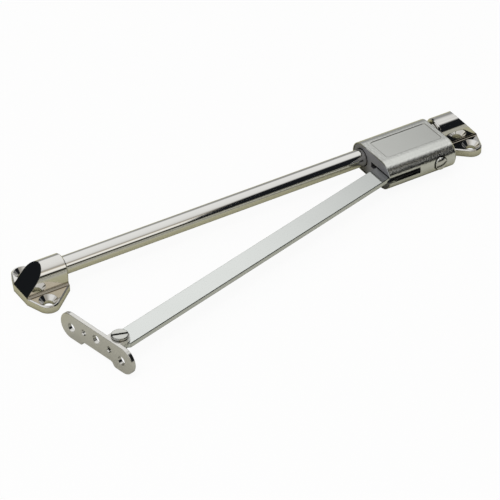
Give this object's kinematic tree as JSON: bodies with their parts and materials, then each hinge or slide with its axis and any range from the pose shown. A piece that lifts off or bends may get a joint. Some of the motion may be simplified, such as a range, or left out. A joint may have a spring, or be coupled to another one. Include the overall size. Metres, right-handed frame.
{
  "type": "lid stay",
  "caption": "Sliding lid stay with an adjustable brake: a round rod between screwed end brackets, a braked slider and a flat arm to a flap plate.",
  "frame": {"origin": "midpoint between the left bracket's two screw holes, on the plane the brackets are screwed to", "axes": "+X along the guide rod from the left bracket to the right one, +Z away from the mounting surface, the arm lies on the -Y side"},
  "size_m": [0.286, 0.1094, 0.0196],
  "materials": {
    "rod": "polished nickel plate on steel",
    "bracket": "polished nickel plate on a zinc casting",
    "pin": "plain steel",
    "housing": "satin nickel plate on a zinc casting, fine grain",
    "insert": "moulded grey plastic",
    "bush": "moulded dark acetal",
    "washer": "thin natural nylon",
    "shoe": "moulded friction plastic",
    "spring": "spring steel, oiled",
    "thread": "turned brass",
    "screw": "nickel-plated steel",
    "arm": "satin nickel plate on steel strip",
    "plate": "satin nickel plate on steel sheet"
  },
  "bodies": {
    "rail": {"guide_rod": "rod", "left_bracket": "bracket", "right_bracket": "bracket", "left_rod_pin": "pin", "right_rod_pin": "pin"},
    "slider": {"housing": "housing", "guide_insert": "insert", "left_rod_bush": "bush", "right_rod_bush": "bush", "arm_pin": "pin", "arm_washers": "washer", "brake_shoe": "shoe", "disc_springs": "spring", "pressure_washer": "spring", "thread_bush": "thread"},
    "adjuster": {"brake_screw": "screw"},
    "stay_arm": {"arm": "arm", "arm_bush": "bush", "clinch_nut": "screw", "pivot_screw": "screw", "tab_washer": "washer"},
    "flap_bracket": {"flap_plate": "plate"}
  },
  "joints": [
    {"name": "slider_travel", "type": "slide", "parent": "rail", "child": "slider", "axis": [1, 0, 0], "range_m": [-0.1878, 0.003]},
    {"name": "brake_adjust", "type": "hinge", "parent": "slider", "child": "adjuster", "pos_m": [0.2375, 0, 0.011], "axis": [0, 1, 0], "range_deg": [-180, 180]},
    {"name": "arm_swing", "type": "hinge", "parent": "slider", "child": "stay_arm", "pos_m": [0.2175, -0.017, 0.0114], "axis": [0, 0, 1], "range_deg": [-3, 75]},
    {"name": "flap_turn", "type": "hinge", "parent": "stay_arm", "child": "flap_bracket", "pos_m": [0.00973, -0.07228, 0.014], "axis": [0, 0, 1], "range_deg": [-53, 58]}
  ]
}
